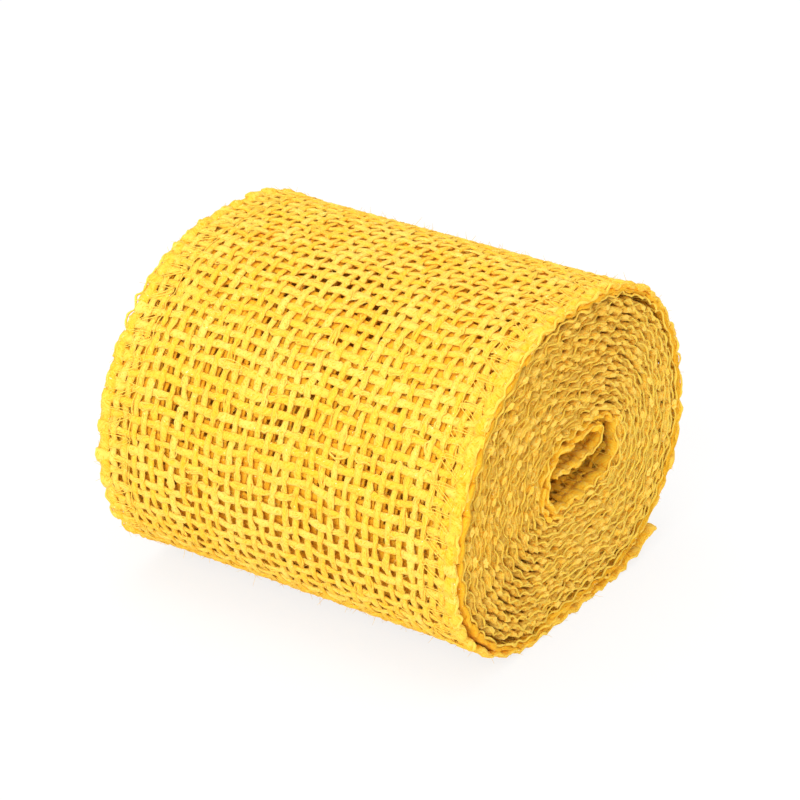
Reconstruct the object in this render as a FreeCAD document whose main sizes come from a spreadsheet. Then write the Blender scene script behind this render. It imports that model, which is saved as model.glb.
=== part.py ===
import FreeCAD
import Part
import Sketcher
import math
import os
from collections import namedtuple

# A coreless roll of woven ribbon lying on its side. +Z is up and the roll's axis runs along Y.
# The origin is on the table, under the middle of the roll. Seen from the front, from -Y, the
# strip winds outwards anticlockwise: from a loose tongue in the eye, round a tight fold and a
# flattened eye, through the turns, along the run that the roll rests on, to a lifted tail.
# Both long edges are overlocked with a needle thread and two looper threads, which lie sunk in
# the cloth's faces, so that every turn has the cloth's own thickness from edge to edge.
# Lengths are in millimetres and angles in degrees.

SIZES = (
    # alias, value, what it is
    ("ribbon_width", "60", "width of the ribbon over its overlocked edges"),
    ("cloth_thickness", "0.66", "thickness of the woven cloth"),
    ("hem_width", "5", "depth of the overlocked hem"),
    ("thread_thickness", "0.14", "how deep a looper thread lies in a face"),
    ("edge_thickness", "0.15", "threads wrapped round the cut edge"),
    ("needle_width", "0.4", "width of the needle thread's line"),
    ("tongue_length", "9.9", "inner end of the strip, loose in the eye"),
    ("fold_radius", "1.85", "fold at the tongue's root"),
    ("fold_run", "8.6", "straight run over the upper slot"),
    ("eye_radius", "4.45", "bend at the eye's closed end"),
    ("eye_run", "10", "straight run under the lower slot"),
    ("turn_count", "17", "full turns outside the eye"),
    ("slack_below", "0.41", "gap between turns below the eye"),
    ("slack_above", "0.55", "gap between turns above the eye"),
    ("slack_left", "0.65", "gap between turns left of the eye"),
    ("slack_right", "0.45", "gap between turns right of the eye"),
    ("tail_radius", "32", "bend of the lifted tail"),
    ("tail_angle", "27.5", "angle that the tail's bend turns"),
    ("hinge_gap", "0.3", "gap where a loose end bends"),
)
TAIL_PIECES = 3
QUARTER = 90
HALF_TURN = 180

doc = FreeCAD.newDocument("ribbon_roll")
sheet = doc.addObject("Spreadsheet::Sheet", "Sizes")
for row, (alias, value, meaning) in enumerate(SIZES, start=1):
    sheet.set(f"A{row}", value)
    sheet.setAlias(f"A{row}", alias)
    sheet.set(f"B{row}", meaning)
doc.recompute()
size = {alias: float(sheet.get(alias)) for alias, value, meaning in SIZES}

HALF_CLOTH = size["cloth_thickness"] / 2
HALF_HEM = HALF_CLOTH - size["thread_thickness"]

Run = namedtuple("Run", "length")
Bend = namedtuple("Bend", "angle radius")


class Stretch:
    """A run or bend of the strip's middle surface, placed in the X-Z plane."""

    def __init__(self, start, heading, shape):
        self.start = start
        self.heading = heading
        self.is_bend = isinstance(shape, Bend)
        self.angle = math.radians(shape.angle) if self.is_bend else 0.0
        self.radius = shape.radius if self.is_bend else 0.0
        self.length = self.angle * self.radius if self.is_bend else shape.length

    def centre(self):
        """The middle of a bend."""
        inward = FreeCAD.Vector(-math.sin(self.heading), 0, math.cos(self.heading))
        return self.start + inward * self.radius

    def point(self, share, offset=0.0):
        """The point at a share of the length, moved by offset towards the middle of the roll."""
        heading = self.heading + self.angle * share
        inward = FreeCAD.Vector(-math.sin(heading), 0, math.cos(heading))
        if self.is_bend:
            return self.centre() - inward * (self.radius - offset)
        ahead = FreeCAD.Vector(math.cos(heading), 0, math.sin(heading))
        return self.start + ahead * self.length * share + inward * offset

    def edge(self, offset):
        """The stretch's line, moved by offset."""
        if self.is_bend:
            return Part.Arc(*(self.point(share, offset) for share in (0, 0.5, 1))).toShape()
        return Part.LineSegment(self.point(0, offset), self.point(1, offset)).toShape()


def turn_shapes(turn, spacing):
    """One full turn, from the start of its bottom run to the start of the next one.

    Its bends are quarter turns, tight at the bottom corners and wide at the top ones, and all of
    them widen as the strip goes round. The top run closes the turn.
    """
    lower_growth = (3 * spacing["below"] - spacing["above"]) / 2
    upper_growth = (3 * spacing["above"] - spacing["below"]) / 2
    widening = spacing["left"] + spacing["right"] - 2 * lower_growth
    shift_left = spacing["left"] - lower_growth
    lower = size["eye_radius"]
    first_top_height = 2 * size["eye_radius"] + spacing["above"]
    upper = first_top_height - lower - lower_growth * 0.125 - upper_growth * 0.375

    right_lower = lower + lower_growth * (turn + 0.125)
    right_upper = upper + upper_growth * (turn + 0.375)
    left_upper = upper + upper_growth * (turn + 0.625)
    left_lower = lower + lower_growth * (turn + 0.875)
    bottom_run = size["eye_run"] + widening * turn
    top_run = bottom_run + right_lower + left_lower - right_upper - left_upper + shift_left
    return [Run(bottom_run), Bend(QUARTER, right_lower), Bend(QUARTER, right_upper),
            Run(top_run), Bend(QUARTER, left_upper), Bend(QUARTER, left_lower)]


def strip_shapes():
    """The whole strip from its inner end to its outer end, as (name, runs and bends).

    A gap where a loose end bends has an empty name.
    """
    spacing = {side: size["cloth_thickness"] + size["slack_" + side]
               for side in ("below", "above", "left", "right")}
    turns = int(size["turn_count"])
    strip = [("tongue", [Run(size["tongue_length"])]),
             ("", [Run(size["hinge_gap"])]),
             ("inner_fold", [Bend(HALF_TURN, size["fold_radius"]), Run(size["fold_run"]),
                             Bend(HALF_TURN, size["eye_radius"])])]
    for turn in range(turns):
        strip.append((f"turn_{turn + 1:02d}", turn_shapes(turn, spacing)))
    strip.append(("resting_run", turn_shapes(turns, spacing)[:1]))
    gap_angle = math.degrees(size["hinge_gap"] / size["tail_radius"])
    piece_angle = size["tail_angle"] / TAIL_PIECES - gap_angle
    for number in range(1, TAIL_PIECES + 1):
        strip.append(("", [Bend(gap_angle, size["tail_radius"])]))
        strip.append((f"tail_{number}", [Bend(piece_angle, size["tail_radius"])]))
    return strip


def lay_out(strip, start):
    """Place the strip end to end from start, heading towards +X. Gaps are kept in order."""
    placed = []
    heading = 0.0
    for name, shapes in strip:
        stretches = []
        for shape in shapes:
            stretch = Stretch(start, heading, shape)
            start = stretch.point(1)
            heading += stretch.angle
            stretches.append(stretch)
        placed.append((name, stretches))
    return placed


def placed_strip():
    """The strip, moved so that it stands on Z = 0 with its box centred on X = 0."""
    strip = strip_shapes()
    loose = lay_out(strip, FreeCAD.Vector(0, 0, 0))
    faces = [stretch.point(share, -HALF_CLOTH)
             for name, stretches in loose for stretch in stretches for share in (0, 1)]
    across = [face.x for face in faces]
    shift = FreeCAD.Vector(-(min(across) + max(across)) / 2, 0, -min(face.z for face in faces))
    return lay_out(strip, shift)


def band_face(stretches, inner, outer):
    """The face between two offsets of a row of stretches."""
    edges = [stretch.edge(inner) for stretch in stretches]
    edges += [stretch.edge(outer) for stretch in stretches]
    first, last = stretches[0], stretches[-1]
    edges.append(Part.LineSegment(first.point(0, inner), first.point(0, outer)).toShape())
    edges.append(Part.LineSegment(last.point(1, inner), last.point(1, outer)).toShape())
    return Part.Face(Part.Wire(Part.__sortEdges__(edges)))


def add_layer(name, stretches, inner, outer, start, length):
    """A layer between two offsets, from the plane Y = start along +Y. start and length are
    expressions in the sheet's names."""
    section = doc.addObject("Part::Feature", name + "_section")
    section.Shape = band_face(stretches, inner, outer)
    layer = doc.addObject("Part::Extrusion", name)
    layer.Base = section
    layer.DirMode = "Custom"
    layer.Dir = FreeCAD.Vector(0, 1, 0)
    layer.Solid = True
    layer.setExpression("LengthFwd", length)
    layer.setExpression("Placement.Base.y", start)
    return layer


def fuse(name, layers):
    """Join layers that share a face into one solid."""
    joined = doc.addObject("Part::MultiFuse", name)
    joined.Shapes = layers
    return joined


# Places across the ribbon, as expressions in the sheet's names.
FRONT_EDGE = "-Sizes.ribbon_width / 2"
INSIDE_FRONT_EDGE = "-Sizes.ribbon_width / 2 + Sizes.edge_thickness"
FRONT_HEM = "-Sizes.ribbon_width / 2 + Sizes.hem_width"
FRONT_NEEDLE = "-Sizes.ribbon_width / 2 + Sizes.hem_width - Sizes.needle_width"
INSIDE_EDGES = "Sizes.ribbon_width - 2 * Sizes.edge_thickness"
BETWEEN_HEMS = "Sizes.ribbon_width - 2 * Sizes.hem_width"


def add_cloth(name, stretches):
    """Woven cloth: full thickness between the hems, thinner where the threads sink into it."""
    panel = add_layer(name + "_panel", stretches, HALF_CLOTH, -HALF_CLOTH, FRONT_HEM, BETWEEN_HEMS)
    hems = add_layer(name + "_hems", stretches, HALF_HEM, -HALF_HEM,
                     INSIDE_FRONT_EDGE, INSIDE_EDGES)
    return fuse(name, [panel, hems])


def pad_sketch(body, name, stretch, half, width):
    """Pad one stretch of the strip both ways across the ribbon, from a sketch in X and Z.

    half is half the thickness and width the length of the pad, both as expressions.
    """
    plane = [part for part in body.Origin.OriginFeatures if part.Role == "XZ_Plane"][0]
    sketch = body.newObject("Sketcher::SketchObject", name + "_sketch")
    sketch.AttachmentSupport = [(plane, "")]
    sketch.MapMode = "FlatFace"
    if stretch.is_bend:
        sketch_bend(sketch, stretch, half)
    else:
        sketch_run(sketch, stretch, half)
    pad = body.newObject("PartDesign::Pad", name)
    pad.Profile = sketch
    pad.SideType = "Symmetric"
    pad.setExpression("Length", width)
    return pad


def flat(vector):
    """A point of the X-Z plane in a sketch's own axes."""
    return FreeCAD.Vector(vector.x, vector.z, 0)


def sketch_run(sketch, stretch, half):
    """A rectangle round a level run, fixed at its start and bound to its length and thickness."""
    start = flat(stretch.point(0))
    corners = [flat(stretch.point(share, side * HALF_CLOTH))
               for share, side in ((0, -1), (1, -1), (1, 1), (0, 1))]
    for index in range(4):
        sketch.addGeometry(Part.LineSegment(corners[index], corners[(index + 1) % 4]))
        sketch.addConstraint(Sketcher.Constraint("Horizontal" if index % 2 == 0 else "Vertical", index))
    for index in range(4):
        sketch.addConstraint(Sketcher.Constraint("Coincident", index, 2, (index + 1) % 4, 1))
    sketch.addConstraint(Sketcher.Constraint("DistanceX", -1, 1, 0, 1, start.x))
    middle = sketch.addGeometry(Part.Point(start), True)
    sketch.addConstraint(Sketcher.Constraint("Symmetric", 0, 1, 3, 1, middle, 1))
    sketch.addConstraint(Sketcher.Constraint("DistanceY", -1, 1, middle, 1, start.y))
    length = sketch.addConstraint(Sketcher.Constraint("DistanceX", 0, 1, 0, 2, stretch.length))
    depth = sketch.addConstraint(Sketcher.Constraint("DistanceY", 1, 1, 1, 2, 2 * HALF_CLOTH))
    sketch.setExpression(f"Constraints[{length}]", "Sizes.tongue_length")
    sketch.setExpression(f"Constraints[{depth}]", f"2 * ({half})")


def sketch_bend(sketch, stretch, half):
    """Two arcs round one centre with radial ends, bound to the tail's radius and thickness."""
    centre = flat(stretch.centre())
    first = stretch.heading - math.pi / 2
    last = first + stretch.angle
    up = FreeCAD.Vector(0, 0, 1)
    radii = (stretch.radius + HALF_CLOTH, stretch.radius - HALF_CLOTH)
    for radius in radii:
        sketch.addGeometry(Part.ArcOfCircle(Part.Circle(centre, up, radius), first, last))
    for share in (0, 1):
        sketch.addGeometry(Part.LineSegment(flat(stretch.point(share, -HALF_CLOTH)),
                                            flat(stretch.point(share, HALF_CLOTH))))
    outer, inner, root_end, free_end = range(4)
    for line, arc_end in ((root_end, 1), (free_end, 2)):
        sketch.addConstraint(Sketcher.Constraint("Coincident", line, 1, outer, arc_end))
        sketch.addConstraint(Sketcher.Constraint("Coincident", line, 2, inner, arc_end))
        sketch.addConstraint(Sketcher.Constraint("PointOnObject", outer, 3, line))
    sketch.addConstraint(Sketcher.Constraint("Coincident", outer, 3, inner, 3))
    sketch.addConstraint(Sketcher.Constraint("DistanceX", -1, 1, outer, 3, centre.x))
    sketch.addConstraint(Sketcher.Constraint("DistanceY", -1, 1, outer, 3, centre.y))
    for line, angle in ((root_end, first), (free_end, last)):
        sketch.addConstraint(Sketcher.Constraint("Angle", line, angle + math.pi))
    for arc, radius, side in ((outer, radii[0], "+"), (inner, radii[1], "-")):
        bound = sketch.addConstraint(Sketcher.Constraint("Radius", arc, radius))
        sketch.setExpression(f"Constraints[{bound}]", f"Sizes.tail_radius {side} ({half})")


def add_loose_end(name, stretch):
    """Cloth of a loose end, padded from sketches: the panel, then the thinner hems through it."""
    body = doc.addObject("PartDesign::Body", name)
    half = "Sizes.cloth_thickness / 2"
    pad_sketch(body, name + "_hems", stretch, half + " - Sizes.thread_thickness", INSIDE_EDGES)
    body.Tip = pad_sketch(body, name + "_panel", stretch, half, BETWEEN_HEMS)
    return body


def add_front_threads(name, stretches):
    """The front edge's needle thread and two loopers, which meet in the middle of the edge."""
    needle = add_layer(name + "_needle_thread", stretches, -HALF_HEM, -HALF_CLOTH,
                       FRONT_NEEDLE, "Sizes.needle_width")
    loopers = []
    for looper, side, width in (("_upper_looper", -1, "Sizes.hem_width - Sizes.needle_width"),
                                ("_lower_looper", 1, "Sizes.hem_width")):
        face = add_layer(name + looper + "_face", stretches, side * HALF_HEM, side * HALF_CLOTH,
                         FRONT_EDGE, width)
        edge = add_layer(name + looper + "_edge", stretches, 0, side * HALF_HEM,
                         FRONT_EDGE, "Sizes.edge_thickness")
        loopers.append(fuse(name + looper, [face, edge]))
    return [needle] + loopers


def mirror_to_rear(source, name):
    """The same piece at the other edge of the ribbon."""
    mirrored = doc.addObject("Part::Mirroring", name)
    mirrored.Source = source
    mirrored.Normal = FreeCAD.Vector(0, 1, 0)
    return mirrored


def add_thread_group(name, stretches):
    """All threads of both edges of a loose end, one group for each edge."""
    front = doc.addObject("Part::Compound", name + "_front_threads")
    front.Links = add_front_threads(name, stretches)
    return [front, mirror_to_rear(front, name + "_rear_threads")]


def build():
    """Make every sub-part and return them, each labelled with its own name."""
    parts = []
    wound = []
    for name, stretches in placed_strip():
        if not name:
            continue
        if name == "tongue" or name.startswith("tail"):
            parts.append(add_loose_end(name, stretches[0]))
            parts += add_thread_group(name, stretches)
        else:
            parts.append(add_cloth(name, stretches))
            wound += stretches
    front = add_front_threads("front", wound)
    rear = [mirror_to_rear(thread, thread.Name.replace("front", "rear")) for thread in front]
    return parts + front + rear


def check(parts):
    """Stop unless every object is sound and every sub-part is a valid solid."""
    for item in doc.Objects:
        if "Invalid" in item.State or "Error" in item.State:
            raise RuntimeError(f"{item.Name} failed: {item.State}")
    for part in parts:
        if part.Shape.isNull() or not part.Shape.isValid() or not part.Shape.Solids:
            raise RuntimeError(f"{part.Name} has no valid solid")


def print_joints():
    """Print where each loose end hinges, in millimetres."""
    strip = placed_strip()
    for (gap_name, gap), (name, stretches) in zip(strip, strip[1:]):
        if name.startswith("tail"):
            hinge = gap[0].point(0.5, -HALF_CLOTH)
            print(f"{name} hinge at x {hinge.x:.3f} z {hinge.z:.3f}")
    hinge = strip[1][1][0].point(0.5)
    print(f"tongue hinge at x {hinge.x:.3f} z {hinge.z:.3f}")
    total = sum(stretch.length for name, stretches in strip for stretch in stretches)
    print(f"strip length {total:.1f}")


parts = build()
doc.recompute()
check(parts)
os.makedirs("parts", exist_ok=True)
for part in parts:
    part.Label = part.Name
    part.Shape.exportStep(f"parts/{part.Label}.step")
print_joints()
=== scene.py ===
"""A coreless roll of open-weave jute ribbon with overlocked edges.

The whole strip is one winding line. Every yarn, sewing thread and fibre is laid along that line by a
geometry node tree, so that a size changed here moves everything that lies on it.
"""

import math

import bpy
import numpy as np
from bpy.props import FloatProperty, FloatVectorProperty, IntProperty, PointerProperty
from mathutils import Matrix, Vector


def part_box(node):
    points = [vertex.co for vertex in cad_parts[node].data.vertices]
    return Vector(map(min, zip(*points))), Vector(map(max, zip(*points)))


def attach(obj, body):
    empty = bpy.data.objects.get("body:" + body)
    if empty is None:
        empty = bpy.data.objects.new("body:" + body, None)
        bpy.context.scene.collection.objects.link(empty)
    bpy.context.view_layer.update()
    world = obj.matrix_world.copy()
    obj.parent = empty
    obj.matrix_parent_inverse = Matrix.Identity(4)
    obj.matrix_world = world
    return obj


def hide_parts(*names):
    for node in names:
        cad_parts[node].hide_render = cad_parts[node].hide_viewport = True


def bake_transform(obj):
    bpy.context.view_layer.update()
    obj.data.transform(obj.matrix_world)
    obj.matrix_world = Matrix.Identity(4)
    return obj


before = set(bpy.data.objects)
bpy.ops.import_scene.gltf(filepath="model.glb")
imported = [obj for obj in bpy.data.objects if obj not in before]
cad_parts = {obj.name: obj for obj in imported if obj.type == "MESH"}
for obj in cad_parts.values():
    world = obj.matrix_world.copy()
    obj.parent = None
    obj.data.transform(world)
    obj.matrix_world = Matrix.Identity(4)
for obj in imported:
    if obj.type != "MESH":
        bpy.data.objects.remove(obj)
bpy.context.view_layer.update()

bl_info = {
    "name": "Jute ribbon roll",
    "version": (1, 0, 0),
    "blender": (4, 5, 0),
    "location": "View3D > Sidebar > Ribbon",
    "description": "Weaves, winds and sews the edges of a roll of jute ribbon",
    "category": "Object",
}

MM = 0.001
PER_MM = 1 / MM
SIDES = {"front": -1, "rear": 1}
TAIL_PIECES = 3

# How far the woven cloth of a wound stretch reaches into the gap where its neighbour bends.
INTO_GAP = 0.15 * MM
# Where the tail's own cloth takes over from the resting run's, before the first hinge.
TAIL_LEAD = 2 * MM
# The lowest that a yarn and a hair lie over the floor.
YARN_FLOOR, HAIR_FLOOR = 0.03 * MM, 0.05 * MM


# ---------------------------------------------------------------- sizes and colours


def length(name, value, text):
    """A property that holds a length given in millimetres."""
    size = value * MM
    return FloatProperty(name=name, description=text, default=size, min=0, unit="LENGTH", precision=5)


def angle(name, value, text):
    """A property that holds an angle given in degrees."""
    return FloatProperty(name=name, description=text, default=math.radians(value), unit="ROTATION")


def number(name, value, text):
    """A property that holds a share."""
    return FloatProperty(name=name, description=text, default=value)


def count(name, value, text):
    """A property that holds a whole number."""
    return IntProperty(name=name, description=text, default=value, min=1)


def colour(name, value, text):
    """A property that holds a colour in linear light."""
    looks = {"subtype": "COLOR", "size": 3, "min": 0, "max": 1}
    return FloatVectorProperty(name=name, description=text, default=value, **looks)


class WindingSizes(bpy.types.PropertyGroup):
    """How the strip is wound. These are the sizes that the solid model has."""

    cloth: length("Cloth", 0.66, "Thickness of the woven strip")
    tongue: length("Tongue", 9.9, "Free inner end, which lies in the eye")
    hinge_gap: length("Hinge gap", 0.3, "Length of strip that bends between two stiffer stretches")
    fold_radius: length("Fold radius", 1.85, "Radius at which the strip folds back on itself in the eye")
    fold_run: length("Fold run", 8.6, "Straight stretch from the fold to the first turn")
    eye_radius: length("Eye radius", 4.45, "Radius of the eye's ends")
    eye_run: length("Eye run", 10.0, "Straight stretch along the eye's floor")
    turns: count("Turns", 17, "Full turns round the eye")
    slack_below: length("Slack below", 0.41, "Air between layers under the eye")
    slack_above: length("Slack above", 0.55, "Air between layers over the eye")
    slack_left: length("Slack left", 0.65, "Air between layers on the left")
    slack_right: length("Slack right", 0.45, "Air between layers on the right")
    tail_radius: length("Tail radius", 32.0, "Radius at which the free outer end lifts")
    tail_angle: angle("Tail angle", 27.5, "Angle through which the free outer end bends")


class ClothSizes(bpy.types.PropertyGroup):
    """The weave, its edges and the sewing threads."""

    ends: count("Warp ends", 33, "Yarns that run along the strip")
    pick: length("Pick spacing", 2.2, "Spacing of the yarns that cross the strip")
    edge_crowding: number("Edge crowding", 0.08, "How far the warp crowds towards the edges")
    yarn_width: length("Yarn width", 1.04, "Width of a yarn lying in the weave")
    yarn_thickness: length("Yarn thickness", 0.42, "Thickness of a yarn lying in the weave")
    hem: length("Hem width", 5.0, "Width of the overlocked edge")
    stitch: length("Stitch length", 3.7, "Spacing of the overlock stitches")
    thread: length("Thread width", 0.15, "Width of a sewing thread")
    ruffle: length("Ruffle", 0.36, "How far the wound edges wave in and out")


class RibbonColours(bpy.types.PropertyGroup):
    """Colours of the dyed yarn, the sewing thread and the stage. Some yarn colours hold painted shade and
    painted highlights.
    """

    jute: colour("Jute", (0.985, 0.605, 0.046), "Dyed jute in plain light")
    # Partly pale fibres at random, partly painted highlight: the finishes lay it on the crests of the fibre
    # streaks.
    jute_pale_and_highlight: colour("Jute highlight", (0.990, 0.715, 0.140), "Raised and rubbed fibres")
    # Partly darker patches at random, partly painted shade: the finishes lay it in the grooves of the fibre
    # streaks.
    jute_deep_and_shade: colour("Jute shade", (0.970, 0.440, 0.013), "Dye gathered between the fibres")
    # Painted shade: a darker, more orange copy of the jute colour for the covered turn, standing in for light
    # bounced between the layers.
    jute_under_painted_shade: colour("Jute under", (0.977, 0.525, 0.028), "Dyed jute in a layer that another covers")
    thread: colour("Thread", (0.985, 0.690, 0.090), "Polyester sewing thread")
    floor: colour("Floor", (0.93, 0.93, 0.93), "Floor under the roll")


# ---------------------------------------------------------------- the winding line


class Winding:
    """The strip's middle line, seen from the front: X to the right, Z up, turning left all the way."""

    def __init__(self, sizes):
        self.sizes = sizes
        self.marks = {}
        self.parts = []
        self.lay()
        self.points, self.headings, self.along = self.trace()
        self.shift = self.seat()
        self.points += self.shift

    def add(self, name, *pieces):
        """Adds runs (length, 0) and bends (angle, radius), and remembers where they start and end."""
        start = self.length()
        self.parts += pieces
        self.marks[name] = (start, self.length())

    def length(self):
        return sum(a * r if r else a for a, r in self.parts)

    def lay(self):
        s = self.sizes
        below, above = s.cloth + s.slack_below, s.cloth + s.slack_above
        left, right = s.cloth + s.slack_left, s.cloth + s.slack_right
        lower_growth, upper_growth = (3 * below - above) / 2, (3 * above - below) / 2
        widening, shift_left = left + right - 2 * lower_growth, left - lower_growth
        lower = s.eye_radius
        upper = 2 * s.eye_radius + above - lower - lower_growth * 0.125 - upper_growth * 0.375
        quarter, half = math.pi / 2, math.pi
        self.add("tongue", (s.tongue, 0))
        self.add("tongue_gap", (s.hinge_gap, 0))
        self.add("inner_fold", (half, s.fold_radius), (s.fold_run, 0), (half, s.eye_radius))
        for turn in range(s.turns + 1):
            right_lower = lower + lower_growth * (turn + 0.125)
            right_upper = upper + upper_growth * (turn + 0.375)
            left_upper = upper + upper_growth * (turn + 0.625)
            left_lower = lower + lower_growth * (turn + 0.875)
            bottom = s.eye_run + widening * turn
            top = bottom + right_lower + left_lower - right_upper - left_upper + shift_left
            if turn == s.turns:
                self.add("resting_run", (bottom, 0))
                break
            self.add(
                f"turn_{turn + 1:02d}",
                (bottom, 0),
                (quarter, right_lower),
                (quarter, right_upper),
                (top, 0),
                (quarter, left_upper),
                (quarter, left_lower),
            )
        gap_angle = s.hinge_gap / s.tail_radius
        for k in range(1, TAIL_PIECES + 1):
            self.add(f"tail_gap_{k}", (gap_angle, s.tail_radius))
            self.add(f"tail_{k}", (s.tail_angle / TAIL_PIECES - gap_angle, s.tail_radius))

    def trace(self, step=0.4 * MM):
        """Points, headings and distances every step or so along the line."""
        place, heading, gone = np.zeros(2), 0.0, 0.0
        points, headings, along = [place], [heading], [0.0]
        for a, r in self.parts:
            size = a * r if r else a
            n = max(1, round(size / step))
            for k in range(1, n + 1):
                if r:
                    h = heading + a * k / n
                    centre = place + r * np.array([-math.sin(heading), math.cos(heading)])
                    points.append(centre + r * np.array([math.sin(h), -math.cos(h)]))
                    headings.append(h)
                else:
                    points.append(place + size * k / n * np.array([math.cos(heading), math.sin(heading)]))
                    headings.append(heading)
                along.append(gone + size * k / n)
            place, heading, gone = points[-1], headings[-1], along[-1]
        return np.array(points), np.array(headings), np.array(along)

    def seat(self):
        """The shift that stands the roll on the floor with the middle of its box over the origin."""
        outward = np.stack([np.sin(self.headings), -np.cos(self.headings)], 1)
        faces = np.concatenate([self.points + side * outward * self.sizes.cloth / 2 for side in (-1, 1)])
        low, high = faces.min(0), faces.max(0)
        return np.array([-(low[0] + high[0]) / 2, -low[1]])

    def at(self, distance):
        """The point of the middle line at a distance from the strip's inner end."""
        x, z = (np.interp(distance, self.along, self.points[:, k]) for k in (0, 1))
        return Vector((x, 0, z))

    def outside(self, distance, across, height):
        """A point so far over the strip's outer face."""
        heading = np.interp(distance, self.along, self.headings)
        outward = Vector((math.sin(heading), 0, -math.cos(heading)))
        return self.at(distance) + outward * (self.sizes.cloth / 2 + height) + Vector((0, across, 0))

    def start(self, name):
        return self.marks[name][0]

    def end(self, name):
        return self.marks[name][1]

    def mesh(self):
        """The line as a mesh of edges, for the node trees to follow."""
        name = "winding_line"
        found = bpy.data.meshes.get(name)
        if found is None:
            found = bpy.data.meshes.new(name)
            points = [(x, 0, z) for x, z in self.points]
            found.from_pydata(points, [(k, k + 1) for k in range(len(points) - 1)], [])
        return found


# ---------------------------------------------------------------- node trees


class Nodes:
    """Adds nodes to a node tree, each with its settings and what goes into its sockets."""

    def __init__(self, tree):
        self.nodes, self.links = tree.nodes, tree.links

    def node(self, kind, inputs=None, **settings):
        made = self.nodes.new(kind)
        for key, value in settings.items():
            setattr(made, key, value)
        for key, value in (inputs or {}).items():
            self.plug(made, key, value)
        return made


class Field:
    """A socket that takes part in arithmetic, so that a tree's formulas read as formulas."""

    def __init__(self, tree, socket):
        self.tree, self.socket = tree, socket

    def is_vector(self):
        return self.socket.type == "VECTOR"

    def combined(self, operation, other):
        combine = self.tree.vector if self.is_vector() else self.tree.math
        return combine(operation, self, other)

    def __add__(self, other):
        return self.combined("ADD", other)

    def __sub__(self, other):
        return self.combined("SUBTRACT", other)

    def __mul__(self, other):
        if self.is_vector():
            return self.tree.get("ShaderNodeVectorMath", {0: self, "Scale": other}, operation="SCALE")
        return self.tree.math("MULTIPLY", self, other)

    def __truediv__(self, other):
        return self.tree.math("DIVIDE", self, other)

    def __rsub__(self, other):
        return self.tree.math("SUBTRACT", other, self)

    __radd__, __rmul__ = __add__, __mul__


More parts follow.
